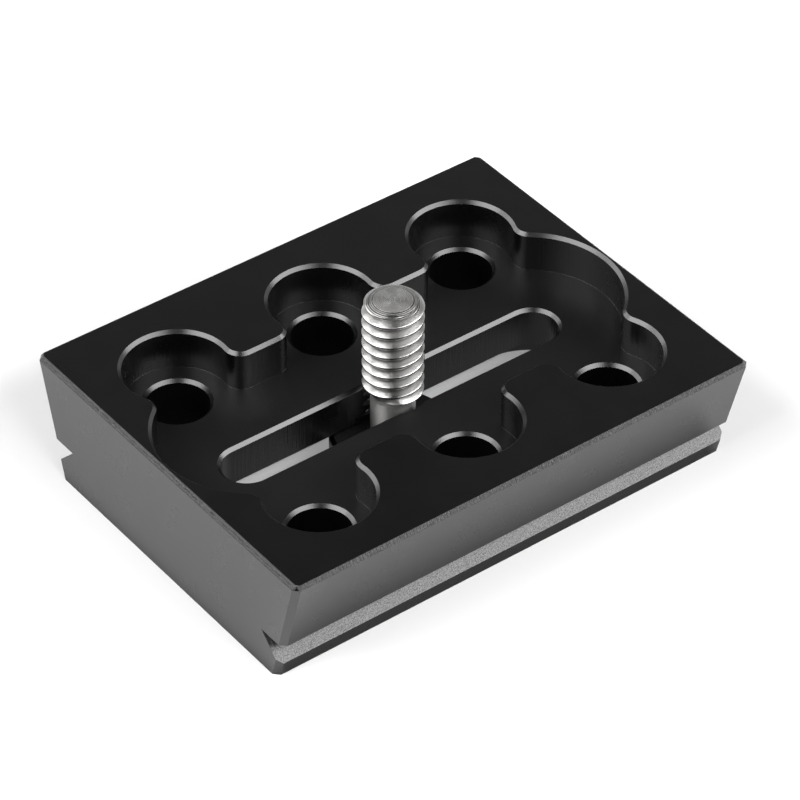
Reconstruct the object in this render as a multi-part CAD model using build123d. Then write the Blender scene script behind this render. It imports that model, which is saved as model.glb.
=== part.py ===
"""Dual dovetail mounting plate with a captive quarter inch camera screw, in millimetres.

X runs along the slot, Y across the dovetails and Z up. The origin is at the
centre of the underside. The plate is milled from one bar: a lower 38 mm camera
dovetail with 45 degree flanks, and above it a wider block whose flanks lean out
by 15 degrees, so that a telescope saddle can grip it too. The top holds a recess
of six round pockets round a straight middle, and the screw slides in its slot.
"""

from build123d import *
from math import cos, radians, tan
import os

# The bar
plate_length = 56.2            # along X
plate_height = 13.8
top_width = 44.0               # across the upper dovetail, at its widest
upper_flank_angle = 15.0       # lean of the upper flanks, from upright
lower_width = 38.0             # across the lower dovetail, at its widest
lower_flank_angle = 45.0       # slope of the lower flanks, from level
lower_lip_height = 1.85        # from the underside to the widest line
lower_lip_angle = 15.0         # lean of the lip's outer face, from upright
ledge_height = 4.65            # underside of the upper block
edge_chamfer = 0.45            # round the top face
corner_facet = 0.6             # down the four corners

# The recess in the top face
recess_depth = 4.6
recess_side = 9.35             # from the centre line to the straight sides
recess_end_radius = 9.75       # of the arc at each end
recess_rim = 0.15              # flat left between the end arc's chamfer and the edge's
recess_cusp_radius = 1.8       # where the arcs and straight sides meet
pocket_diameter = 11.0         # seat of a screw head
cut_chamfer = 0.35             # on the recess, the holes and the slot

# The holes, in two rows of three
hole_diameter = 6.6            # clearance for a quarter inch screw
hole_pitch_x = 18.0
hole_pitch_y = 24.0

# The slot
slot_end_wall = 7.45           # between the slot and the end of the plate

# The captive screw
thread_diameter = 6.35         # quarter inch, 20 threads to the inch
thread_length = 11.25          # with its tip
tip_flat_diameter = 4.1
tip_height = 0.55              # of the sloping rim round the tip
neck_diameter = 4.6
head_diameter = 13.0
head_height = 4.5
head_chamfer = 0.4
hex_across_flats = 4.0
hex_depth = 2.4

# Clearances
neck_clearance = 0.35          # each side of the neck in the slot
head_clearance = 0.5           # each side of the head in its channel
head_seat_gap = 0.1            # between the head and the web above it
head_foot_gap = 0.15           # between the head and the underside
thread_lift = 0.8              # free length of neck above the web
thread_clearance = 0.05        # round the thread in the centre hole

# The countersink of the threaded hole in the middle of the slot
countersink_diameter = 10.0
countersink_angle = 120.0

# Values worked out from those above
recess_floor = plate_height - recess_depth
slot_width = neck_diameter + 2 * neck_clearance
slot_reach = plate_length / 2 - slot_end_wall - slot_width / 2
channel_width = head_diameter + 2 * head_clearance
channel_depth = head_foot_gap + head_height + head_seat_gap
web_thickness = recess_floor - channel_depth
neck_length = web_thickness + thread_lift
end_arc_x = plate_length / 2 - edge_chamfer - recess_rim - cut_chamfer - recess_end_radius


def flank_line(z):
    """Half width of the upper block at height z, on its leaning flank."""
    drop = plate_height - edge_chamfer * cos(radians(upper_flank_angle)) - z
    return top_width / 2 - drop * tan(radians(upper_flank_angle))


def bar_section():
    """Section of the bar across X: both dovetails, one above the other."""
    lip_foot = lower_width / 2 - lower_lip_height * tan(radians(lower_lip_angle))
    flank_run = (ledge_height - lower_lip_height) / tan(radians(lower_flank_angle))
    half = [
        (lip_foot, 0),
        (lower_width / 2, lower_lip_height),
        (lower_width / 2 - flank_run, ledge_height),
        (flank_line(ledge_height), ledge_height),
        (flank_line(plate_height), plate_height),
    ]
    other_half = [(-y, z) for y, z in reversed(half)]
    return Plane.YZ * make_face(Polyline(*half, *other_half, close=True))


def leans_on_end(edge):
    """True for an edge of an end face that runs up one of the two outer flanks."""
    middle = edge.center()
    on_end = abs(abs(middle.X) - plate_length / 2) < 1e-4
    upper = middle.Z > ledge_height and abs(middle.Y) > flank_line(ledge_height)
    lower = middle.Z < lower_lip_height and abs(middle.Y) > lower_width / 2 - lower_lip_height
    upright = abs(edge.tangent_at(0.5).Z) > 0.5
    return on_end and upright and (upper or lower)


def bar():
    """The bar with its corner facets and the chamfer round its top."""
    solid = extrude(bar_section(), plate_length / 2, both=True)
    solid = chamfer(solid.edges().filter_by(leans_on_end), corner_facet)
    return chamfer(solid.faces().sort_by(Axis.Z)[-1].outer_wire().edges(), edge_chamfer)


def hole_centres():
    """Centres of the six holes and of the pockets round them."""
    return GridLocations(hole_pitch_x, hole_pitch_y, 3, 2)


def recess_end(side):
    """The end arc's disc beyond the outer pockets' centre line, on one side of the middle."""
    disc = Pos(side * end_arc_x, 0) * Circle(recess_end_radius)
    beyond = Pos(side * (hole_pitch_x + recess_end_radius), 0) * Rectangle(
        2 * recess_end_radius, 2 * recess_end_radius
    )
    return disc & beyond


def recess_outline():
    """Six pockets, a straight middle and an arc at each end, with rounded cusps."""
    outline = Rectangle(2 * hole_pitch_x, 2 * recess_side)
    outline += [recess_end(-1), recess_end(1)]
    outline += hole_centres() * Circle(pocket_diameter / 2)
    return fillet(outline.vertices(), recess_cusp_radius)


def top_loop_edges(solid, z):
    """Edges at height z that bound the openings in the level face there."""
    level = solid.faces().filter_by(Axis.Z).filter_by_position(Axis.Z, z - 0.01, z + 0.01)
    largest = level.sort_by(SortBy.AREA)[-1]
    return ShapeList([edge for wire in largest.inner_wires() for edge in wire.edges()])


def dovetail_plate():
    """The bar with its recess, holes, slot, threaded centre and head channel."""
    solid = bar()
    solid -= Pos(0, 0, recess_floor) * extrude(recess_outline(), recess_depth)
    solid = chamfer(top_loop_edges(solid, plate_height), cut_chamfer)

    slot = SlotCenterToCenter(2 * slot_reach, slot_width)
    hole = extrude(Circle(hole_diameter / 2), recess_floor)
    solid -= extrude(slot, recess_floor)
    solid -= hole_centres() * hole
    solid = chamfer(top_loop_edges(solid, recess_floor), cut_chamfer)

    channel = SlotCenterToCenter(2 * slot_reach, channel_width)
    solid -= extrude(channel, channel_depth)
    solid = chamfer(top_loop_edges(solid, 0), cut_chamfer)

    bore_radius = thread_diameter / 2 + thread_clearance
    solid -= extrude(Circle(bore_radius), recess_floor)
    sink_depth = (countersink_diameter / 2 - bore_radius) / tan(radians(countersink_angle / 2))
    sink = Cone(bore_radius, countersink_diameter / 2, sink_depth)
    return solid - Pos(0, 0, recess_floor - sink_depth / 2) * sink


def captive_screw():
    """One turned piece: a low head with a hex socket, a plain neck and the thread."""
    foot = head_foot_gap
    head_top = foot + head_height
    thread_foot = head_top + neck_length
    tip = thread_foot + thread_length
    neck_step = (thread_diameter - neck_diameter) / 2
    section = Polyline(
        (0, foot),
        (head_diameter / 2 - head_chamfer, foot),
        (head_diameter / 2, foot + head_chamfer),
        (head_diameter / 2, head_top - head_chamfer),
        (head_diameter / 2 - head_chamfer, head_top),
        (neck_diameter / 2, head_top),
        (neck_diameter / 2, thread_foot),
        (thread_diameter / 2, thread_foot + neck_step / 2),
        (thread_diameter / 2, tip - tip_height),
        (tip_flat_diameter / 2, tip),
        (0, tip),
        close=True,
    )
    solid = revolve(Plane.XZ * make_face(section), Axis.Z)
    socket = RegularPolygon(hex_across_flats / 2, 6, major_radius=False)
    return solid - Pos(0, 0, foot) * extrude(socket, hex_depth)


os.makedirs("parts", exist_ok=True)
export_step(dovetail_plate(), "parts/dovetail_plate.step")
export_step(captive_screw(), "parts/captive_screw.step")
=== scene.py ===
"""Looks of the dual dovetail mounting plate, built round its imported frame.

The plate gets its broken edges and its black anodised finish, the screw its rolled
thread and turned tip, and the middle of the slot its tapped thread. A stage with
three softboxes and the camera complete the scene. Lengths are in metres.
"""

from math import asin, atan2, cos, pi, radians, sin, tan

import bmesh
import bpy
import numpy as np
from bpy.props import FloatProperty, FloatVectorProperty, PointerProperty
from mathutils import Matrix, Quaternion, Vector


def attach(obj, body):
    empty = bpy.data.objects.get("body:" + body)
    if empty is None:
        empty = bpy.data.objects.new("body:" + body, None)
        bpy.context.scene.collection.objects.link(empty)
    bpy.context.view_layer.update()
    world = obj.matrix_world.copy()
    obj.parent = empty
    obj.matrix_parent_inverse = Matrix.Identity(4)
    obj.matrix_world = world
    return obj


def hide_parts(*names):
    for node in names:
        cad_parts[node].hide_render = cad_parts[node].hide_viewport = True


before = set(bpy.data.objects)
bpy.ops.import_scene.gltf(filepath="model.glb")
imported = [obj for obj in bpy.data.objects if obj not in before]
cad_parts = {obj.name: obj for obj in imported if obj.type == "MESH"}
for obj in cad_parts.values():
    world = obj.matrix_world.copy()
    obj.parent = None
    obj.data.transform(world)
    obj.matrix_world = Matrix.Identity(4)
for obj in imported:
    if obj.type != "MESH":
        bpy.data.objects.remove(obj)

bl_info = {
    "name": "Dual dovetail mounting plate",
    "version": (1, 0, 0),
    "blender": (4, 5, 0),
    "location": "3D View > Sidebar > Dovetail plate",
    "description": "Builds the looks of the mounting plate, its captive screw and the stage",
    "category": "Object",
}

MM = 0.001

# The plate's surfaces are told apart by these steps, each from where one surface ends to where
# the next begins. The first four are of the normal's Z part, the others of a height or distance.
UP_LEVEL = (0.93, 0.99)
UP_UPRIGHT = (0.30, 0.42)
UP_LEANING = (0.42, 0.55)
UP_NEARLY_LEVEL = (0.90, 0.96)
TOP_HEIGHT = (0.0133, 0.0136)
LEDGE_HEIGHT = (0.00475, 0.00495)
SLOT_EDGE_HEIGHT = (0.0090, 0.0094)
FLANK_Y = (0.0174, 0.0179)
RIM_X = (0.02755, 0.02765)
RIM_Y = (0.02145, 0.02155)
OUTSIDE_X = (0.0276, 0.0279)
OUTSIDE_Y = (0.0178, 0.0181)

# The same for the screw, by height, by the normal's Z part and by distance from its axis
HEAD_TOP_HEIGHT = (0.00466, 0.0049)
NECK_TOP_HEIGHT = (0.0095, 0.0099)
LAST_LAND_HEIGHT = (0.01990, 0.02010)
TIP_FACE_HEIGHT = (0.02055, 0.02062)
UP_TURNED_FACE = (0.94, 0.99)
ROOT_REACH = (0.00240, 0.00285)
CREST_REACH = (0.0027, 0.0031)
LAND_REACH = (0.00312, 0.00315)

# Marks of the tools: the face mill's centre and its feed, and the feed of the lathe on the tip
MILL_CENTRE = (0.036, 0.012, 0.0)
MILL_FEED = 0.00052
LATHE_FEED = 0.00019

# The plate's foot on the floor, how far the painted shade in the floor's reflections reaches, and the floor
# seen through the slot, which glows with painted light
FOOT_X = 0.0281
FOOT_Y = 0.0186
SHADE_LEAD_X = 0.0035
SHADE_REACH = 0.0068
UNDER_SLOT_X = (-0.0034, -0.0038)
UNDER_SLOT_Y = (-0.0112, -0.0116)

MASKS = ("Top", "Floor", "Upright", "Chamfer", "Rim", "Lower flank", "Inside", "Corner")


def length(name, description, default):
    """A size in metres, shown in the scene's own unit."""
    return FloatProperty(
        name=name,
        description=description,
        default=default,
        subtype="DISTANCE",
        unit="LENGTH",
        precision=6,
    )


def angle(name, description, default):
    """An angle, given in degrees and kept in radians."""
    return FloatProperty(
        name=name, description=description, default=radians(default), subtype="ANGLE", unit="ROTATION"
    )


def level(name, description, default, most=1.0):
    """A plain number from nought to the most it can be."""
    return FloatProperty(
        name=name, description=description, default=default, min=0.0, max=most, precision=4
    )


def colour(name, description, default):
    """A colour as linear red, green and blue."""
    return FloatVectorProperty(
        name=name, description=description, default=default, size=3, min=0.0, max=1.0, subtype="COLOR"
    )


class PlateSettings(bpy.types.PropertyGroup):
    """Edges and finish of the anodised bar."""

    outer_break: length("Outer break", "Width of the broken outside edges", 0.00006)
    inner_fillet: length("Inner fillet", "Width left by the cutter in the inside corners", 0.00014)
    centre_bore: length("Centre bore", "Diameter of the threaded hole in the middle", 0.00645)
    centre_rim: length("Centre rim", "Diameter of the broken rim of that hole", 0.0066)
    frame_rim: length("Frame rim", "Diameter of the same rim in the frame", 0.0100)
    slot_width: length("Slot width", "Width of the slot", 0.0053)
    cut_chamfer: length("Cut chamfer", "Chamfer of the slot", 0.00035)
    recess_floor: length("Recess floor", "Height of the recess floor", 0.0092)
    black: colour("Black", "Colour of the anodised layer", (0.0007, 0.0007, 0.00072))
    gloss: level("Refractive index", "Refractive index of the sealed layer", 1.62, 3.0)
    top_roughness: level("Top roughness", "Roughness of the top face", 0.33)
    floor_roughness: level("Floor roughness", "Roughness of the recess floor", 0.42)
    side_roughness: level("Side roughness", "Roughness of the sawn and milled sides", 0.28)
    cut_roughness: level("Chamfer roughness", "Roughness of the chamfers", 0.29)
    band_roughness: level("Flank roughness", "Roughness of the blasted flanks and the rim", 0.46)
    corner_roughness: level("Corner roughness", "Roughness of the corners of the top", 0.12)
    band: colour("Flank", "Colour of the blasted lower flanks", (0.040, 0.040, 0.041))
    grain_size: length("Grain size", "Size of the finest grain", 0.00014)
    chatter_pitch: length("Chatter pitch", "Distance between the ticks on the long chamfers", 0.0004)


class ScrewSettings(bpy.types.PropertyGroup):
    """Sizes and finish of the captive screw."""

    foot: length("Foot", "Height of the head's underside", 0.00015)
    head_diameter: length("Head diameter", "Diameter of the head", 0.013)
    head_height: length("Head height", "Height of the head", 0.0045)
    head_chamfer: length("Head chamfer", "Chamfer on both edges of the head", 0.0004)
    hex_width: length("Socket width", "Width across the flats of the socket", 0.004)
    hex_depth: length("Socket depth", "Depth of the socket", 0.0024)
    neck_diameter: length("Neck diameter", "Diameter of the plain neck", 0.0046)
    neck_length: length("Neck length", "Length of the neck above the head", 0.00525)
    thread_diameter: length("Thread diameter", "Outside diameter of the thread", 0.00635)
    thread_length: length("Thread length", "Length of the thread with its tip", 0.01125)
    thread_pitch: length("Thread pitch", "Distance between two turns", 0.00127)
    thread_depth: length("Thread depth", "Depth of the thread", 0.00074)
    first_crest: length("First crest", "Height of the first crest on the X axis", 0.01027)
    tip_diameter: length("Tip diameter", "Diameter of the flat tip", 0.0041)
    tip_height: length("Tip height", "Height of the sloping rim round the tip", 0.00055)
    steel: colour("Steel", "Colour of the steel", (0.45, 0.445, 0.437))
    # Painted shade: the head's colour is darkened to stand in for the dark channel that it reflects.
    head: colour("Head", "Colour of the head, darkened by painted_shade", (0.045, 0.044, 0.043))
    steel_roughness: level("Steel roughness", "Roughness of the steel", 0.29)


class TappedThreadSettings(bpy.types.PropertyGroup):
    """Sizes of the tapped thread in the middle of the slot."""

    bore_diameter: length("Bore diameter", "Diameter of the hole at the thread's roots", 0.00645)
    inner_diameter: length("Inner diameter", "Diameter at the thread's crests", 0.00515)
    slot_width: length("Slot width", "Width of the slot that cuts through the hole", 0.0053)
    bottom: length("Bottom", "Height where the thread starts", 0.00477)
    top: length("Top", "Height where it ends, under the broken rim", 0.00816)


class StageSettings(bpy.types.PropertyGroup):
    """Floor, softboxes and surroundings."""

    floor_radius: length("Floor radius", "Radius of the pale floor", 3.0)
    floor_drop: length("Floor drop", "Gap between the floor and the plate's underside", 0.00002)
    floor_colour: colour("Floor", "Colour of the floor", (0.72, 0.72, 0.72))
    floor_lift: level("Floor lift", "Light that the floor adds where it is seen", 0.02)
    # Painted light: the slot lift makes the floor under the slot glow.
    slot_lift: level("Slot lift", "Light of the floor seen through the slot", 0.28)
    # Painted shade: the foot shade darkens the floor's reflections next to the plate's foot.
    foot_shade: level("Foot shade", "Floor's share of light in reflections right at the foot", 0.25)
    ambient: level("Ambient", "Level of the light from all round", 0.14, 4.0)
    ceiling: level("Ceiling", "Level of the ceiling in reflections", 0.0, 4.0)
    left_azimuth: angle("Left azimuth", "Direction of the left softbox", -97.0)
    left_elevation: angle("Left elevation", "Height of the left softbox", 42.0)
    left_width: length("Left width", "Width of the left softbox", 0.48)
    left_height: length("Left height", "Height of the left softbox", 0.36)
    left_level: level("Left level", "Brightness of the left softbox", 7.8, 50.0)
    back_azimuth: angle("Back azimuth", "Direction of the back softbox", -145.0)
    back_elevation: angle("Back elevation", "Height of the back softbox", 26.0)
    back_width: length("Back width", "Width of the back softbox", 0.48)
    back_height: length("Back height", "Height of the back softbox", 0.32)
    back_level: level("Back level", "Brightness of the back softbox", 3.8, 50.0)
    right_azimuth: angle("Right azimuth", "Direction of the right softbox", 30.0)
    right_elevation: angle("Right elevation", "Height of the right softbox", 35.0)
    right_width: length("Right width", "Width of the right softbox", 1.00)
    right_height: length("Right height", "Height of the right softbox", 0.27)
    right_tilt: angle(
        "Right tilt",
        "Turn of the right softbox in its own plane; less than nought lifts its left end",
        -18.0,
    )
    right_level: level("Right level", "Brightness of the right softbox", 9.6, 50.0)
    softbox_distance: length("Softbox distance", "Distance of the softboxes", 0.60)


class CameraSettings(bpy.types.PropertyGroup):
    """The camera of the main picture."""

    place: FloatVectorProperty(
        name="Place",
        description="Where the camera stands",
        default=(-0.192690, -0.253262, 0.272861),
        size=3,
        subtype="TRANSLATION",
        unit="LENGTH",
        precision=6,
    )
    azimuth: angle("Azimuth", "Direction that the camera stands in", -37.3940)
    elevation: angle("Elevation", "Height of the camera above the horizon", 39.7384)
    roll: angle("Roll", "Turn about the line of sight", 0.2063)
    lens: level("Lens", "Focal length in millimetres on a 36 mm sensor", 184.985, 1000.0)


def direction(azimuth, elevation):
    """Unit vector towards a direction. Azimuth nought is minus Y, and a quarter turn is plus X."""
    return Vector((sin(azimuth) * cos(elevation), -cos(azimuth) * cos(elevation), sin(elevation)))


# Meshes


def mesh_from_faces(name, points, quads, triangles):
    """A mesh from arrays: points by three, quads by four and triangles by three."""
    mesh = bpy.data.meshes.new(name)
    corners = np.concatenate([quads.ravel(), triangles.ravel()]).astype(np.int32)
    starts = np.concatenate(
        [np.arange(len(quads)) * 4, len(quads) * 4 + np.arange(len(triangles)) * 3]
    ).astype(np.int32)
    mesh.vertices.add(len(points))
    mesh.vertices.foreach_set("co", points.astype(np.float32).ravel())
    mesh.loops.add(len(corners))
    mesh.loops.foreach_set("vertex_index", corners)
    mesh.polygons.add(len(starts))
    mesh.polygons.foreach_set("loop_start", starts)
    mesh.update(calc_edges=True)
    mesh.validate()
    return mesh


def lathe_mesh(name, radius, height, first_pole, last_pole):
    """A closed turned form. Row i, column j lies at radius[i, j] and height[i, j], at the
    angle j / columns of a full turn. Rows run up the outside, and a pole closes each end.
    """
    rows, columns = radius.shape
    turn = 2 * pi * np.arange(columns) / columns
    points = np.stack([radius * np.cos(turn), radius * np.sin(turn), height], axis=-1).reshape(-1, 3)
    points = np.vstack([points, [[0, 0, first_pole], [0, 0, last_pole]]])
    here = np.arange(rows - 1)[:, None] * columns + np.arange(columns)
    beside = np.arange(rows - 1)[:, None] * columns + (np.arange(columns) + 1) % columns
    quads = np.stack([here, beside, beside + columns, here + columns], axis=-1).reshape(-1, 4)
    ring = np.arange(columns)
    after = (ring + 1) % columns
    last = (rows - 1) * columns
    first_fan = np.stack([np.full(columns, rows * columns), after, ring], axis=-1)
    last_fan = np.stack([last + ring, last + after, np.full(columns, rows * columns + 1)], axis=-1)
    return mesh_from_faces(name, points, quads, np.vstack([first_fan, last_fan]))


def rounded_profile(corners, radius, steps=5):
    """A profile of straight runs with each inner corner turned into an arc of that radius.
    The arc touches both runs, so its centre lies on the corner's half angle.
    """
    corners = np.array(corners, float)
    into = corners[1:-1] - corners[:-2]
    out = corners[2:] - corners[1:-1]
    into /= np.linalg.norm(into, axis=1)[:, None]
    out /= np.linalg.norm(out, axis=1)[:, None]
    turn = np.arctan2(into[:, 0] * out[:, 1] - into[:, 1] * out[:, 0], (into * out).sum(1))
    reach = radius * np.tan(np.abs(turn) / 2)
    start = corners[1:-1] - into * reach[:, None]
    across = np.stack([-into[:, 1], into[:, 0]], axis=1) * np.sign(turn)[:, None]
    swept = np.linspace(0, 1, steps)[None, :] * np.abs(turn)[:, None]
    along = radius * np.sin(swept)[..., None] * into[:, None, :]
    aside = radius * (1 - np.cos(swept))[..., None] * across[:, None, :]
    arcs = (start[:, None, :] + along + aside).reshape(-1, 2)
    return np.vstack([corners[:1], arcs, corners[-1:]])


def thread_wave(turns):
    """Depth below the crest, from nought to one, at that many turns above a crest: a narrow
    land, then a bulging flank that steepens towards a narrow root, as on a rolled thread.
    """
    off = np.abs(turns - np.round(turns))
    beyond = (off - 0.05) / 0.34
    down = np.minimum(0.5 * (beyond + np.sqrt(beyond * beyond + 0.006)), 1)
    return 0.78 * down + 0.22 * down * down


def smooth(values):
    """An even step from nought to one with level ends."""
    values = np.clip(values, 0, 1)
    return values * values * (3 - 2 * values)


def narrow_centre_rim(shape, s):
    """Draws the countersink of the middle hole in to a narrow rim. Each point of the cone keeps
    its height and its share of the arc between the slot's two walls at that height.
    """
    bore = s.centre_bore / 2
    half_angle = radians(60)
    slope = (s.frame_rim / 2 - bore) / tan(half_angle)
    for vertex in shape.verts:
        x, y, z = vertex.co
        up = (z - s.recess_floor + slope) / slope
        wide = bore + (s.frame_rim / 2 - bore) * up
        if not 0 < up < 1.0001 or abs((x * x + y * y) ** 0.5 - wide) > 2e-5:
            continue
        narrow = bore + (s.centre_rim / 2 - bore) * up
        wall = s.slot_width / 2 + max(0, z - s.recess_floor + s.cut_chamfer)
        first, target = asin(min(1, wall / wide)), asin(min(1, wall / narrow))
        share = (atan2(abs(y), x) - first) / (pi - 2 * first)
        turn = target + share * (pi - 2 * target)
        vertex.co = (narrow * cos(turn), narrow * sin(turn) * (1 if y > 0 else -1), z)


def finished_piece(name, mesh, body, material, sharp=35.0):
    """The object of a mesh that is already in place, shaded smooth up to the sharp angle."""
    mesh.polygons.foreach_set("use_smooth", np.ones(len(mesh.polygons), bool))
    mesh.set_sharp_from_angle(angle=radians(sharp))
    mesh.materials.clear()
    mesh.materials.append(material)
    piece = bpy.data.objects.new(name, mesh)
    bpy.context.scene.collection.objects.link(piece)
    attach(piece, body)
    return piece


# Shader nodes


class Wiring:
    """Places nodes in a tree and links them."""

    def __init__(self, tree):
        self.tree = tree
        self.placed = 0

    def add(self, kind, label="", values=None, **settings):
        """A node of that kind. Values are its unlinked inputs by name or number, or links."""
        made = self.tree.nodes.new(kind)
        made.label = label
        made.location = (200 * (self.placed % 12) - 1200, 400 - 260 * (self.placed // 12))
        self.placed += 1
        for key, value in settings.items():
            setattr(made, key, value)
        for key, value in (values or {}).items():
            if isinstance(value, bpy.types.NodeSocket):
                self.tree.links.new(value, made.inputs[key])
            else:
                made.inputs[key].default_value = value
        return made

    def maths(self, operation, first, second=0.5, third=0.5, label=""):
        """The result of one sum on two or three numbers or sockets."""
        made = self.add("ShaderNodeMath", label, {0: first, 1: second, 2: third}, operation=operation)
        return made.outputs[0]

    def between(self, value, low, high, label=""):
        """Nought at low and one at high, with an even step between."""
        made = self.add(
            "ShaderNodeMapRange",
            label,
            {"Value": value, "From Min": low, "From Max": high},
            interpolation_type="SMOOTHSTEP",
        )
        return made.outputs["Result"]

    def below(self, value, low, high, label=""):
        """One at low and nought at high, with an even step between."""
        return self.maths("SUBTRACT", 1.0, self.between(value, low, high), label=label)

    def mixed(self, share, first, second, label=""):
        """The first number where share is nought and the second where it is one."""
        values = {"Factor": share, "A": first, "B": second}
        return self.add("ShaderNodeMix", label, values, data_type="FLOAT").outputs[0]

    def mixed_colour(self, share, first, second, label=""):
        """The first colour where share is nought and the second where it is one."""
        values = {"Factor": share, 6: first, 7: second}
        return self.add("ShaderNodeMix", label, values, data_type="RGBA").outputs[2]

    def vector(self, operation, first, second, label=""):
        """The node of one sum on two vectors."""
        return self.add("ShaderNodeVectorMath", label, {0: first, 1: second}, operation=operation)

    def from_axis(self, place):
        """Distance of a place from the Z axis."""
        level_place = self.vector("MULTIPLY", place, (1.0, 1.0, 0.0), "level").outputs[0]
        reach = self.add("ShaderNodeVectorMath", "reach", {0: level_place}, operation="LENGTH")
        return reach.outputs["Value"]


def emptied(owner):
    """The wiring of a material or world whose nodes have been cleared."""
    owner.use_nodes = True
    owner.node_tree.nodes.clear()
    return Wiring(owner.node_tree)


def shade(tone, times=1.0):
    """A colour made that many times as bright, with full cover."""
    return (*[times * part for part in tone], 1.0)


def new_group(name, inputs, outputs):
    """An empty shader node group with its sockets, and its input and output nodes."""
    tree = bpy.data.node_groups.new(name, "ShaderNodeTree")
    for label, kind, default in inputs:
        made = tree.interface.new_socket(name=label, in_out="INPUT", socket_type=kind)
        if default is not None:
            made.default_value = default
    for label, kind in outputs:
        tree.interface.new_socket(name=label, in_out="OUTPUT", socket_type=kind)
    wiring = Wiring(tree)
    return tree, wiring, wiring.add("NodeGroupInput"), wiring.add("NodeGroupOutput")


def fine_grain_group():
    """Grain of a metal surface: a height in millimetres, and a slow patchiness and a fine speckle
    from nought to one. The height adds a fine noise and one four times as coarse.
    """
    if "fine_grain" in bpy.data.node_groups:
        return bpy.data.node_groups["fine_grain"]
    tree, w, given, result = new_group(
        "fine_grain",
        [
            ("Vector", "NodeSocketVector", None),
            ("Size", "NodeSocketFloat", 0.0001),
            ("Depth", "NodeSocketFloat", 0.002),
        ],
        [("Height", "NodeSocketFloat"), ("Patches", "NodeSocketFloat"), ("Speckle", "NodeSocketFloat")],
    )
    times = w.maths("DIVIDE", 1.0, given.outputs["Size"], label="grains to the metre")
    fine = w.add(
        "ShaderNodeTexNoise",
        "fine grain",
        {"Vector": given.outputs["Vector"], "Scale": times, "Detail": 1.0, "Roughness": 0.6},
    )
    coarse = w.add(
        "ShaderNodeTexNoise",
        "coarse grain",
        {"Vector": given.outputs["Vector"], "Scale": w.maths("MULTIPLY", times, 0.25), "Detail": 1.0},
    )
    patches = w.add(
        "ShaderNodeTexNoise",
        "patches",
        {"Vector": given.outputs["Vector"], "Scale": 260.0, "Detail": 3.0, "Roughness": 0.55},
    )
    both = w.maths("MULTIPLY_ADD", coarse.outputs["Fac"], 0.8, fine.outputs["Fac"])
    w.tree.links.new(w.maths("MULTIPLY", both, given.outputs["Depth"]), result.inputs["Height"])
    w.tree.links.new(w.between(patches.outputs["Fac"], 0.3, 0.7), result.inputs["Patches"])
    w.tree.links.new(w.between(fine.outputs["Fac"], 0.36, 0.64), result.inputs["Speckle"])
    return tree


def surface_masks_group():
    """Which cut of the plate a point lies on, from its object normal and its place.
    Each mask is one on its surface and nought off it.
    """
    tree, w, given, result = new_group(
        "surface_masks",
        [("Normal", "NodeSocketVector", None), ("Place", "NodeSocketVector", None)],
        [(name, "NodeSocketFloat") for name in MASKS],
    )
    normal = w.add("ShaderNodeSeparateXYZ", "normal", {0: given.outputs["Normal"]})
    place = w.add("ShaderNodeSeparateXYZ", "place", {0: given.outputs["Place"]})
    up = normal.outputs["Z"]
    height = place.outputs["Z"]
    far_x = w.maths("ABSOLUTE", place.outputs["X"])
    far_y = w.maths("ABSOLUTE", place.outputs["Y"])
    faces_up = w.between(up, *UP_LEVEL, "faces up")
    top = w.maths("MULTIPLY", faces_up, w.between(height, *TOP_HEIGHT))
    floor = w.maths("MULTIPLY", faces_up, w.below(height, *TOP_HEIGHT))
    upright = w.below(w.maths("ABSOLUTE", up), *UP_UPRIGHT, "upright")
    steep = w.between(up, *UP_LEANING)
    leans = w.maths("MULTIPLY", steep, w.below(up, *UP_NEARLY_LEVEL), label="leans")
    low = w.below(height, *LEDGE_HEIGHT, "below the ledge")
    flank = w.maths("MULTIPLY", leans, w.maths("MULTIPLY", low, w.between(far_y, *FLANK_Y)))
    chamfer = w.maths("SUBTRACT", leans, flank)
    outer_x = w.between(far_x, *RIM_X)
    outer_y = w.between(far_y, *RIM_Y)
    both = w.maths("MINIMUM", outer_x, outer_y)
    only_one = w.maths("SUBTRACT", w.maths("MAXIMUM", outer_x, outer_y), both)
    rim = w.maths("MULTIPLY", chamfer, only_one, label="chamfer round the top, without its corners")
    corner = w.maths("MULTIPLY", chamfer, both, label="corners of the top")
    outside = w.maths("MAXIMUM", w.between(far_x, *OUTSIDE_X), w.between(far_y, *OUTSIDE_Y))
    inside = w.maths("SUBTRACT", 1.0, outside, label="inside the cuts")
    for name, mask in zip(MASKS, (top, floor, upright, chamfer, rim, flank, inside, corner)):
        tree.links.new(mask, result.inputs[name])
    return tree


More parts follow.
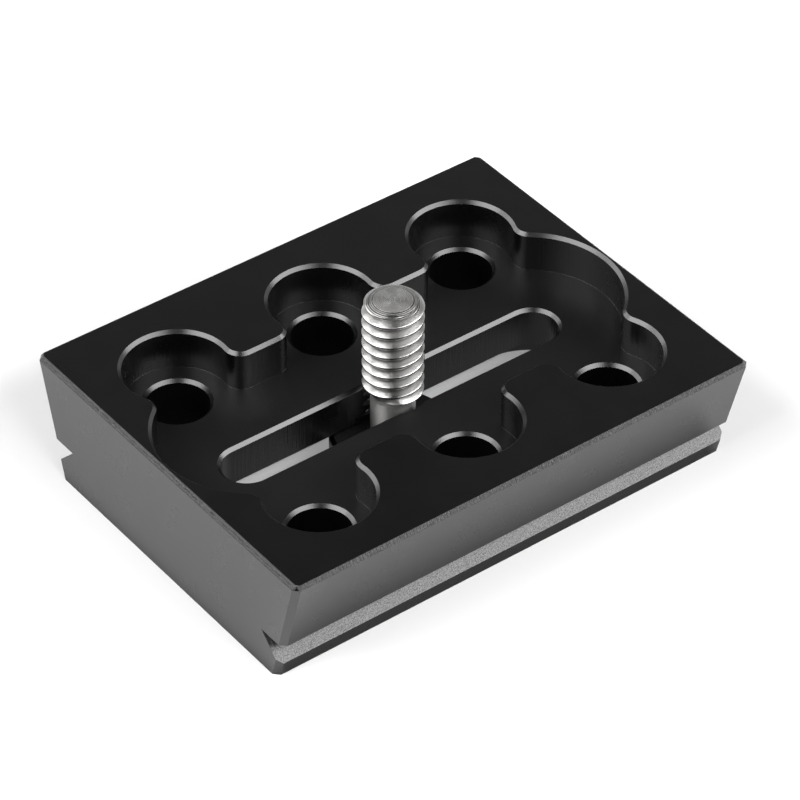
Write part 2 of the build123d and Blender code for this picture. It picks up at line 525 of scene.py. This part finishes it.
def milling_marks_group():
    """Heights in millimetres of the cutter's marks: arcs of a face mill across level faces,
    upright strokes on walls, and regular ticks with ripples on the rim.
    """
    tree, w, given, result = new_group(
        "milling_marks",
        [("Place", "NodeSocketVector", None), ("Tick pitch", "NodeSocketFloat", 0.0004)],
        [("Arcs", "NodeSocketFloat"), ("Strokes", "NodeSocketFloat"), ("Ticks", "NodeSocketFloat")],
    )
    place = given.outputs["Place"]
    swept = w.vector("SUBTRACT", place, MILL_CENTRE, "round the cutter").outputs[0]
    wobble = w.add("ShaderNodeTexNoise", "wobble", {"Vector": place, "Scale": 900.0, "Detail": 2.0})
    arc_drift = w.maths("MULTIPLY", wobble.outputs["Fac"], 5.0)
    phase = w.maths("MULTIPLY_ADD", w.from_axis(swept), 2 * pi / MILL_FEED, arc_drift)
    tree.links.new(w.maths("SINE", phase), result.inputs["Arcs"])
    squeezed = w.vector("MULTIPLY", place, (1.0, 1.0, 0.04), "stretched").outputs[0]
    strokes = w.add(
        "ShaderNodeTexNoise",
        "strokes",
        {"Vector": squeezed, "Scale": 4200.0, "Detail": 2.0, "Roughness": 0.6},
    )
    tree.links.new(strokes.outputs["Fac"], result.inputs["Strokes"])
    apart = w.add("ShaderNodeSeparateXYZ", "place", {0: place})
    per_metre = w.maths("DIVIDE", 2 * pi, given.outputs["Tick pitch"])
    tick_drift = w.maths("MULTIPLY", wobble.outputs["Fac"], 2.2)
    ticks = w.maths("SINE", w.maths("MULTIPLY_ADD", apart.outputs["X"], per_metre, tick_drift))
    ripple = w.add(
        "ShaderNodeTexNoise", "ripples", {"Vector": place, "Scale": 1500.0, "Detail": 3.0, "Roughness": 0.7}
    )
    uneven = w.maths("MULTIPLY_ADD", ripple.outputs["Fac"], 2.6, w.maths("MULTIPLY", ticks, 0.5))
    tree.links.new(uneven, result.inputs["Ticks"])
    return tree


def anodised_material(settings):
    """Black anodised aluminium: a dark layer with a clear seal over milled metal. Roughness and
    bump change with the kind of cut, and the colour drifts a little in slow patches.
    """
    name = "black_anodised_milled"
    if name in bpy.data.materials:
        return bpy.data.materials[name]
    material = bpy.data.materials.new(name)
    w = emptied(material)
    tree = w.tree
    where = w.add("ShaderNodeTexCoord", "place and normal")
    place = where.outputs["Object"]
    masks = w.add("ShaderNodeGroup", "cuts", node_tree=surface_masks_group())
    tree.links.new(where.outputs["Normal"], masks.inputs["Normal"])
    tree.links.new(place, masks.inputs["Place"])
    marks = w.add("ShaderNodeGroup", "milling", node_tree=milling_marks_group())
    tree.links.new(place, marks.inputs["Place"])
    marks.inputs["Tick pitch"].default_value = settings.chatter_pitch
    grain = w.add("ShaderNodeGroup", "grain", node_tree=fine_grain_group())
    tree.links.new(place, grain.inputs["Vector"])
    grain.inputs["Size"].default_value = settings.grain_size
    grain.inputs["Depth"].default_value = 1.0

    flank = masks.outputs["Lower flank"]
    chamfer = masks.outputs["Chamfer"]
    rim = masks.outputs["Rim"]
    walls = w.maths("MULTIPLY", masks.outputs["Upright"], masks.outputs["Inside"])
    # All depths of relief are in millimetres
    grain_depth = w.mixed(flank, w.mixed(chamfer, 0.0006, 0.0004), 0.045, "grain depth")
    arc_depth = w.maths("MULTIPLY", masks.outputs["Floor"], 0.0006)
    apart = w.add("ShaderNodeSeparateXYZ", "place", {0: place})
    above_slot = w.between(apart.outputs["Z"], *SLOT_EDGE_HEIGHT)
    stroke_depth = w.maths("MULTIPLY", walls, w.mixed(above_slot, 0.035, 0.015, "stroke depth"))
    tick_depth = w.maths("MULTIPLY", rim, 0.065)
    heights = w.maths("MULTIPLY", grain.outputs["Height"], grain_depth)
    arcs = w.maths("MULTIPLY", marks.outputs["Arcs"], arc_depth)
    strokes = w.maths("MULTIPLY", marks.outputs["Strokes"], stroke_depth)
    ticks = w.maths("MULTIPLY", marks.outputs["Ticks"], tick_depth)
    heights = w.maths("ADD", w.maths("ADD", heights, arcs), w.maths("ADD", strokes, ticks), label="heights")
    bump = w.add("ShaderNodeBump", "relief", {"Height": heights, "Distance": MM, "Strength": 1.0})

    rough = w.mixed(masks.outputs["Top"], settings.side_roughness, settings.top_roughness)
    rough = w.mixed(masks.outputs["Floor"], rough, settings.floor_roughness)
    rough = w.mixed(chamfer, rough, settings.cut_roughness)
    rough = w.mixed(flank, rough, settings.band_roughness)
    rough = w.mixed(rim, rough, settings.band_roughness)
    rough = w.mixed(masks.outputs["Corner"], rough, settings.corner_roughness)
    speckle = w.maths("MULTIPLY", rim, grain.outputs["Speckle"], label="speckle of the rim")
    rough = w.maths("MULTIPLY_ADD", speckle, 0.20, rough)
    patchy = w.maths("MULTIPLY_ADD", grain.outputs["Patches"], 0.02, -0.01)
    rough = w.maths("ADD", rough, patchy, label="roughness")

    black = w.mixed_colour(
        grain.outputs["Patches"], shade(settings.black), shade(settings.black, 1.25), "tone"
    )
    blasted = w.mixed_colour(
        grain.outputs["Speckle"], shade(settings.band, 0.2), shade(settings.band, 2.2), "speckled"
    )
    base = w.mixed_colour(flank, black, blasted, "blasted")
    shader = w.add(
        "ShaderNodeBsdfPrincipled",
        "anodised layer",
        {"Base Color": base, "Roughness": rough, "IOR": settings.gloss, "Normal": bump.outputs[0]},
    )
    w.add("ShaderNodeOutputMaterial", values={0: shader.outputs[0]})
    return material


def turned_steel_material(settings):
    """Stainless steel off the lathe: fine rings about the axis on level faces and fine grain
    all over. The lands and roots of the rolled thread are darkened as painted shade, the neck's
    colour is lifted as painted light and the head's colour is darkened as painted shade.
    """
    name = "stainless_turned"
    if name in bpy.data.materials:
        return bpy.data.materials[name]
    material = bpy.data.materials.new(name)
    w = emptied(material)
    tree = w.tree
    where = w.add("ShaderNodeTexCoord", "place and normal")
    place = where.outputs["Object"]
    reach = w.from_axis(place)
    grain = w.add("ShaderNodeGroup", "grain", node_tree=fine_grain_group())
    tree.links.new(place, grain.inputs["Vector"])
    grain.inputs["Size"].default_value = 0.00012
    grain.inputs["Depth"].default_value = 0.014
    patches = grain.outputs["Patches"]
    apart = w.add("ShaderNodeSeparateXYZ", "place", {0: place})
    height = apart.outputs["Z"]
    normal = w.add("ShaderNodeSeparateXYZ", "normal", {0: where.outputs["Normal"]})
    flat = w.between(w.maths("ABSOLUTE", normal.outputs["Z"]), *UP_TURNED_FACE, "level faces")
    neck = w.below(height, *NECK_TOP_HEIGHT, "below the thread")
    head = w.below(height, *HEAD_TOP_HEIGHT, "head")
    under_tip = w.below(height, *LAST_LAND_HEIGHT)
    land = w.maths("MULTIPLY", w.between(reach, *LAND_REACH), under_tip, label="lands of the thread")
    threaded = w.maths("SUBTRACT", 1.0, w.maths("MAXIMUM", flat, neck))
    root = w.maths("MULTIPLY", w.below(reach, *ROOT_REACH), threaded, label="roots of the thread")

    tip = w.maths("MAXIMUM", flat, w.between(height, *TIP_FACE_HEIGHT), label="tip")
    rings = w.maths("SINE", w.maths("MULTIPLY", reach, 2 * pi / LATHE_FEED))
    rings = w.maths("MULTIPLY", rings, w.maths("MULTIPLY", tip, 0.012))
    heights = w.maths("ADD", rings, grain.outputs["Height"], label="heights")
    bump = w.add("ShaderNodeBump", "relief", {"Height": heights, "Distance": MM, "Strength": 1.0})

    crest = w.between(reach, *CREST_REACH, "crests")
    rough = w.mixed(crest, settings.steel_roughness + 0.04, settings.steel_roughness)
    rough = w.maths("MULTIPLY_ADD", flat, 0.14, rough)
    rough = w.maths("MULTIPLY_ADD", neck, 0.02, rough)
    rough = w.maths("ADD", rough, w.maths("MULTIPLY_ADD", patches, 0.08, -0.04))

    # Painted shade: the lands and roots of the thread are darkened to deepen the dark lines between the
    # turns.
    thread_painted_shade = w.maths("MAXIMUM", land, w.maths("MULTIPLY", root, 0.7))
    base = w.mixed_colour(patches, shade(settings.steel, 0.94), shade(settings.steel, 1.06), "tone")
    base = w.mixed_colour(thread_painted_shade, base, shade(settings.steel, 0.12), "rolled thread")
    # Painted light: the neck's colour is lifted nearly twice above the steel's, so that the neck reads
    # brighter.
    base = w.mixed_colour(neck, base, shade(settings.steel, 1.9), "neck_painted_light")
    # Painted shade: the head's colour is made dark, standing in for the dark channel that it reflects.
    base = w.mixed_colour(head, base, shade(settings.head), "painted_dark head")
    turned = w.add("ShaderNodeTangent", "round the axis", direction_type="RADIAL", axis="Z")
    shader = w.add(
        "ShaderNodeBsdfPrincipled",
        "steel",
        {
            "Base Color": base,
            "Metallic": 1.0,
            "Roughness": rough,
            "Anisotropic": w.maths("MULTIPLY_ADD", flat, -0.15, 0.55),
            "Anisotropic Rotation": 0.25,
            "Normal": bump.outputs[0],
            "Tangent": turned.outputs[0],
        },
    )
    w.add("ShaderNodeOutputMaterial", values={0: shader.outputs[0]})
    return material


def floor_material(settings):
    """Pale floor that is white where it is lit and keeps the shadow. Further out it turns into
    plain white for the rays that see it, so that the surroundings have no edge, and from below
    it is open. In reflections it carries painted shade near the plate's foot, and under the slot it
    glows with painted light.
    """
    material = bpy.data.materials.new("pale_floor")
    w = emptied(material)
    tree = w.tree
    where = w.add("ShaderNodeTexCoord", "place")
    place = where.outputs["Object"]
    reach = w.add("ShaderNodeVectorMath", "reach", {0: place}, operation="LENGTH")
    far = w.between(reach.outputs["Value"], 0.10, 0.32, "far out")
    rays = w.add("ShaderNodeLightPath", "rays")
    glossy = rays.outputs["Is Glossy Ray"]
    seen = w.maths("MAXIMUM", rays.outputs["Is Camera Ray"], glossy)
    seen = w.maths("MAXIMUM", seen, rays.outputs["Is Transmission Ray"], label="seen")
    apart = w.add("ShaderNodeSeparateXYZ", "place", {0: place})
    out_x = w.maths("SUBTRACT", w.maths("ABSOLUTE", apart.outputs["X"]), FOOT_X)
    out_y = w.maths("SUBTRACT", w.maths("ABSOLUTE", apart.outputs["Y"]), FOOT_Y)

    mottle = w.add("ShaderNodeTexNoise", "mottle", {"Vector": place, "Scale": 60.0, "Detail": 3.0})
    pale = settings.floor_colour
    tone = w.mixed_colour(mottle.outputs["Fac"], shade(pale, 0.99), shade(pale, 1.01), "tone")
    # Painted shade: for reflections only, the floor's colour is darkened near the plate's foot, and further
    # out it is lifted a tenth above its own as painted light.
    lead_x = w.maths("MULTIPLY_ADD", out_x, 2.0, SHADE_LEAD_X)
    from_foot = w.maths("MAXIMUM", out_y, lead_x, label="distance from the foot")
    away = w.between(from_foot, 0.0, SHADE_REACH)
    open_share = w.mixed(away, settings.foot_shade, 1.10, "open share")
    share = w.mixed(glossy, 1.0, open_share, "share of light")
    shaded = w.add("ShaderNodeVectorMath", "shaded", {0: tone, "Scale": share}, operation="SCALE")
    matt = w.add("ShaderNodeBsdfDiffuse", "matt", {"Color": shaded.outputs[0]})

    # Painted light: the floor under the slot glows, so that it shows pale through the slot.
    under = w.maths(
        "MULTIPLY", w.between(out_x, *UNDER_SLOT_X), w.between(out_y, *UNDER_SLOT_Y), label="under the slot"
    )
    glow = w.maths("MULTIPLY", seen, w.mixed(under, settings.floor_lift, settings.slot_lift))
    lift = w.add("ShaderNodeEmission", "lift", {"Color": (1, 1, 1, 1), "Strength": glow})
    lifted = w.add("ShaderNodeAddShader", "lit floor", {0: matt.outputs[0], 1: lift.outputs[0]})
    white = w.add("ShaderNodeEmission", "white", {"Color": (1, 1, 1, 1), "Strength": 1.0})
    near_and_far = w.add(
        "ShaderNodeMixShader",
        "near and far",
        {0: w.maths("MULTIPLY", far, seen), 1: lifted.outputs[0], 2: white.outputs[0]},
    )
    side = w.add("ShaderNodeNewGeometry", "side")
    from_below = w.maths("MULTIPLY", side.outputs["Backfacing"], rays.outputs["Is Camera Ray"])
    open_below = w.add(
        "ShaderNodeMixShader", "open from below", {0: from_below, 1: near_and_far.outputs[0]}
    )
    tree.links.new(w.add("ShaderNodeBsdfTransparent").outputs[0], open_below.inputs[2])
    w.add("ShaderNodeOutputMaterial", values={0: open_below.outputs[0]})
    return material


def studio_world(settings):
    """White surroundings where the camera looks past the floor. In reflections they are white at
    the horizon and dim above, and the object is lit from all round at the ambient level.
    """
    world = bpy.data.worlds.new("studio")
    w = emptied(world)
    where = w.add("ShaderNodeTexCoord", "direction")
    apart = w.add("ShaderNodeSeparateXYZ", "direction", {0: where.outputs["Generated"]})
    above = w.between(apart.outputs["Z"], 0.02, 0.71, "above the horizon")
    rays = w.add("ShaderNodeLightPath", "rays")
    reflected = w.maths("MAXIMUM", rays.outputs["Is Glossy Ray"], rays.outputs["Is Transmission Ray"])
    mirrored = w.mixed(above, 1.0, settings.ceiling, "in reflections")
    strength = w.mixed(reflected, settings.ambient, mirrored)
    strength = w.mixed(rays.outputs["Is Camera Ray"], strength, 1.0, "strength")
    back = w.add("ShaderNodeBackground", "surroundings", {"Color": (1, 1, 1, 1), "Strength": strength})
    w.add("ShaderNodeOutputWorld", values={0: back.outputs[0]})
    return world


# Operators


class DOVETAIL_OT_plate(bpy.types.Operator):
    """Build the anodised bar over the plate of the frame"""

    bl_idname = "dovetail.plate"
    bl_label = "Anodised plate"

    def execute(self, context):
        """The frame's own plate, merged, with its sharp edges broken."""
        settings = context.scene.dovetail_plate
        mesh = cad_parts["dovetail_plate"].data.copy()
        mesh.name = "anodised_plate"
        shape = bmesh.new()
        shape.from_mesh(mesh)
        bmesh.ops.remove_doubles(shape, verts=shape.verts, dist=1e-6)
        narrow_centre_rim(shape, settings)
        bmesh.ops.dissolve_limit(shape, angle_limit=radians(0.4), verts=shape.verts, edges=shape.edges)
        if not all(edge.is_manifold for edge in shape.edges):
            raise RuntimeError("the plate's mesh isn't closed after merging")
        weights = shape.edges.layers.float.new("bevel_weight_edge")
        outer_share = settings.outer_break / settings.inner_fillet
        for edge in shape.edges:
            turn = edge.calc_face_angle_signed()
            if abs(turn) > radians(18):
                edge[weights] = outer_share if turn > 0 else 1.0
        shape.to_mesh(mesh)
        shape.free()
        if "custom_normal" in mesh.attributes:
            mesh.attributes.remove(mesh.attributes["custom_normal"])
        piece = finished_piece(
            "anodised_plate", mesh, "plate", anodised_material(settings), sharp=30.0
        )
        rounding = piece.modifiers.new("broken_edges", "BEVEL")
        rounding.width = settings.inner_fillet
        rounding.segments = 2
        rounding.limit_method = "WEIGHT"
        rounding.use_clamp_overlap = True
        rounding.harden_normals = True
        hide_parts("dovetail_plate")
        return {"FINISHED"}


class DOVETAIL_OT_screw(bpy.types.Operator):
    """Build the captive screw with its thread"""

    bl_idname = "dovetail.screw"
    bl_label = "Captive screw"

    def execute(self, context):
        """One turned surface, from the bottom of the socket up to the middle of the tip."""
        s = context.scene.dovetail_screw
        columns = 144
        turn = 2 * pi * np.arange(columns) / columns
        hexagon = s.hex_width / 2 / np.cos(np.mod(turn, pi / 3) - pi / 6)

        head_top = s.foot + s.head_height
        neck = s.neck_diameter / 2
        head = s.head_diameter / 2
        socket_floor = s.foot + s.hex_depth
        socket_rows = [
            (0.45 * hexagon, socket_floor + 0.00022),
            (0.93 * hexagon, socket_floor),
            (0.985 * hexagon, socket_floor - 0.00003),
            (hexagon, socket_floor - 0.00012),
            (hexagon, s.foot + 0.00016),
            (hexagon + 0.00005, s.foot + 0.00004),
            (hexagon + 0.00014, s.foot),
        ]
        socket_radius = np.array([row[0] for row in socket_rows])
        socket_height = np.array([np.full(columns, row[1]) for row in socket_rows])

        body = rounded_profile(
            [
                (s.hex_width / 2 + 0.0009, s.foot),
                (head - s.head_chamfer, s.foot),
                (head, s.foot + s.head_chamfer),
                (head, head_top - s.head_chamfer),
                (head - s.head_chamfer, head_top),
                (neck, head_top),
                (neck, head_top + s.neck_length - 0.0008),
            ],
            0.00012,
        )
        body_radius = np.repeat(body[:, :1], columns, axis=1)
        body_height = np.repeat(body[:, 1:], columns, axis=1)

        thread_foot = head_top + s.neck_length
        tip = thread_foot + s.thread_length
        crest = s.thread_diameter / 2
        flat = s.tip_diameter / 2
        rows = int(52 * (tip - thread_foot + 0.0007) / s.thread_pitch)
        lip = 0.00007
        height = np.linspace(thread_foot - 0.0007, tip - lip, rows)[:, None] + 0 * turn
        turns = (height - s.first_crest) / s.thread_pitch - turn / (2 * pi)
        along = np.round(turns) + turn / (2 * pi)
        start = smooth((along + 0.54) / 0.40)
        root = crest - s.thread_depth
        core = neck + (root - neck) * smooth((height - thread_foot) / 0.0005)
        threaded = core + (crest - core) * (1 - thread_wave(turns)) * start
        cone_drops = [0, 0.42 * s.tip_height, s.tip_height]
        cone = np.interp(tip - height, cone_drops, [flat, 0.5 * (flat + crest), crest])
        cone = np.where(height < tip - s.tip_height, crest + (tip - s.tip_height - height), cone)
        wide = crest - 0.00002 * smooth((height - tip + 0.002) / 0.001)
        sharpness = 0.00003
        meet = np.minimum(np.minimum(threaded, wide), cone) - sharpness * np.exp(
            -np.abs(threaded - cone) / sharpness
        )
        radius = np.maximum(meet, neck)

        lip_turn = np.linspace(0, 1, 5)[1:] * pi / 2
        lip_radius = flat + lip - 0.00013 * (1 - np.cos(lip_turn)) - 0.00004 * np.sin(lip_turn)
        lip_height = tip - lip * (1 - np.sin(lip_turn))
        face_radius = np.linspace(lip_radius[-1], 0.0001, 12)[1:]
        face_height = tip - 0.00001 * np.sin(face_radius / flat * pi)
        end_radius = np.repeat(np.concatenate([lip_radius, face_radius])[:, None], columns, axis=1)
        end_height = np.repeat(np.concatenate([lip_height, face_height])[:, None], columns, axis=1)

        mesh = lathe_mesh(
            "steel_screw",
            np.vstack([socket_radius, body_radius, radius, end_radius]),
            np.vstack([socket_height, body_height, height, end_height]),
            socket_floor + 0.00035,
            tip - 0.00002,
        )
        material = turned_steel_material(s)
        piece = finished_piece("steel_screw", mesh, "screw", material, sharp=58.0)
        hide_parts("captive_screw")
        return {"FINISHED"}


class DOVETAIL_OT_tapped_thread(bpy.types.Operator):
    """Build the tapped thread that is left in the slot's walls"""

    bl_idname = "dovetail.tapped_thread"
    bl_label = "Tapped thread"

    def execute(self, context):
        """Two shells in the half moons that the bore leaves beside the slot. The inner face waves
        between the bore's radius and the crests, but never passes the slot's wall.
        """
        s = context.scene.dovetail_tapped_thread
        screw = context.scene.dovetail_screw
        bore = s.bore_diameter / 2
        wall = s.slot_width / 2
        half = np.arccos(wall / bore) * 0.999
        columns, rows = 49, int(24 * (s.top - s.bottom) / screw.thread_pitch)
        across = np.linspace(-half, half, columns)
        height = np.linspace(s.bottom, s.top, rows)[:, None] + 0 * across
        parts, quads = [], []
        for count, middle in enumerate((pi / 2, -pi / 2)):
            turn = across + middle
            climb = (height - screw.first_crest) / screw.thread_pitch
            waves = thread_wave(climb - turn / (2 * pi) + 0.5)
            inner = bore - (bore - s.inner_diameter / 2) * (1 - waves)
            inner = np.minimum(np.maximum(inner, wall / np.abs(np.sin(turn))), bore)
            outer = np.full_like(inner, bore + 0.00012)
            ends = np.concatenate([inner, outer[:, ::-1]], axis=1)
            turns = np.concatenate([turn, turn[::-1]])
            heights = np.concatenate([height, height], axis=1)
            points = np.stack([ends * np.cos(turns), ends * np.sin(turns), heights], axis=-1)
            loop = 2 * columns
            here = np.arange(rows - 1)[:, None] * loop + np.arange(loop)
            beside = np.arange(rows - 1)[:, None] * loop + (np.arange(loop) + 1) % loop
            sides = np.stack([here, here + loop, beside + loop, beside], axis=-1).reshape(-1, 4)
            row = np.arange(columns - 1)
            cap = np.stack([row, row + 1, loop - 2 - row, loop - 1 - row], axis=-1)
            top_cap = cap[:, ::-1] + (rows - 1) * loop
            shift = count * rows * loop
            parts.append(points.reshape(-1, 3))
            quads.append(np.vstack([sides, cap, top_cap]) + shift)
        no_triangles = np.zeros((0, 3), int)
        mesh = mesh_from_faces("centre_thread", np.vstack(parts), np.vstack(quads), no_triangles)
        material = anodised_material(context.scene.dovetail_plate)
        finished_piece("centre_thread", mesh, "plate", material, sharp=50.0)
        return {"FINISHED"}


class DOVETAIL_OT_stage(bpy.types.Operator):
    """Build the floor, the surroundings and the three softboxes"""

    bl_idname = "dovetail.stage"
    bl_label = "Stage"

    def execute(self, context):
        """A round floor, a plain world and three rectangular lamps that face the plate."""
        s = context.scene.dovetail_stage
        steps = 96
        turn = 2 * pi * np.arange(steps) / steps
        ring = np.stack([np.cos(turn), np.sin(turn), 0 * turn], axis=-1) * s.floor_radius
        points = np.vstack([ring, [[0, 0, 0]]]) - (0, 0, s.floor_drop)
        row = np.arange(steps)
        fan = np.stack([row, (row + 1) % steps, np.full(steps, steps)], axis=-1)
        mesh = mesh_from_faces("floor", points, np.zeros((0, 4), int), fan)
        floor = bpy.data.objects.new("floor", mesh)
        mesh.materials.append(floor_material(s))
        context.scene.collection.objects.link(floor)
        context.scene.world = studio_world(s)
        target = Vector((0, 0, 0.008))
        parts = ("_azimuth", "_elevation", "_width", "_height", "_level")
        for side, tilt in (("left", 0), ("back", 0), ("right", s.right_tilt)):
            azimuth, elevation, width, tall, brightness = [getattr(s, side + part) for part in parts]
            name = side + "_softbox"
            lamp = bpy.data.lights.new(name, "AREA")
            lamp.shape = "RECTANGLE"
            lamp.size = width
            lamp.size_y = tall
            lamp.energy = brightness * pi * width * tall
            away = direction(azimuth, elevation)
            made = bpy.data.objects.new(name, lamp)
            made.location = target + away * s.softbox_distance
            facing = (-away).to_track_quat("-Z", "Y") @ Quaternion((0, 0, 1), tilt)
            made.rotation_euler = facing.to_euler()
            context.scene.collection.objects.link(made)
        context.scene.view_settings.view_transform = "Standard"
        return {"FINISHED"}


class DOVETAIL_OT_camera(bpy.types.Operator):
    """Place the camera of the main picture"""

    bl_idname = "dovetail.camera"
    bl_label = "Camera"

    def execute(self, context):
        """The camera's axes come from its azimuth, elevation and roll."""
        s = context.scene.dovetail_camera
        back = direction(s.azimuth, s.elevation)
        right = Vector((cos(s.azimuth), sin(s.azimuth), 0))
        up = back.cross(right)
        x = right * cos(s.roll) + up * sin(s.roll)
        y = up * cos(s.roll) - right * sin(s.roll)
        lens = bpy.data.cameras.new("photo_camera")
        lens.lens = s.lens
        lens.sensor_width = 36.0
        lens.sensor_fit = "HORIZONTAL"
        lens.clip_start = 0.01
        lens.clip_end = 20.0
        made = bpy.data.objects.new("photo_camera", lens)
        made.matrix_world = Matrix.Translation(s.place) @ Matrix((x, y, back)).transposed().to_4x4()
        context.scene.collection.objects.link(made)
        context.scene.camera = made
        return {"FINISHED"}


class DOVETAIL_PT_panel(bpy.types.Panel):
    """Settings and steps of the mounting plate"""

    bl_idname = "DOVETAIL_PT_panel"
    bl_label = "Dovetail plate"
    bl_space_type = "VIEW_3D"
    bl_region_type = "UI"
    bl_category = "Dovetail plate"

    def draw(self, context):
        """Each step's settings with the button that builds it."""
        for group, operator in STEPS:
            box = self.layout.box()
            settings = getattr(context.scene, group)
            for name in settings.__annotations__:
                box.prop(settings, name)
            box.operator(operator)


STEPS = (
    ("dovetail_plate", "dovetail.plate"),
    ("dovetail_screw", "dovetail.screw"),
    ("dovetail_tapped_thread", "dovetail.tapped_thread"),
    ("dovetail_stage", "dovetail.stage"),
    ("dovetail_camera", "dovetail.camera"),
)
GROUPS = {
    "dovetail_plate": PlateSettings,
    "dovetail_screw": ScrewSettings,
    "dovetail_tapped_thread": TappedThreadSettings,
    "dovetail_stage": StageSettings,
    "dovetail_camera": CameraSettings,
}
CLASSES = (
    *GROUPS.values(),
    DOVETAIL_OT_plate,
    DOVETAIL_OT_screw,
    DOVETAIL_OT_tapped_thread,
    DOVETAIL_OT_stage,
    DOVETAIL_OT_camera,
    DOVETAIL_PT_panel,
)


def register():
    """Adds the classes and the settings of each step."""
    for kind in CLASSES:
        bpy.utils.register_class(kind)
    for name, kind in GROUPS.items():
        setattr(bpy.types.Scene, name, PointerProperty(type=kind))


def unregister():
    """Takes the settings and the classes away again."""
    for name in GROUPS:
        delattr(bpy.types.Scene, name)
    for kind in reversed(CLASSES):
        bpy.utils.unregister_class(kind)


def main():
    """Builds every step in order."""
    register()
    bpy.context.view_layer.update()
    bpy.ops.dovetail.plate()
    bpy.ops.dovetail.screw()
    bpy.ops.dovetail.tapped_thread()
    bpy.ops.dovetail.stage()
    bpy.ops.dovetail.camera()


if __name__ == "__main__":
    main()
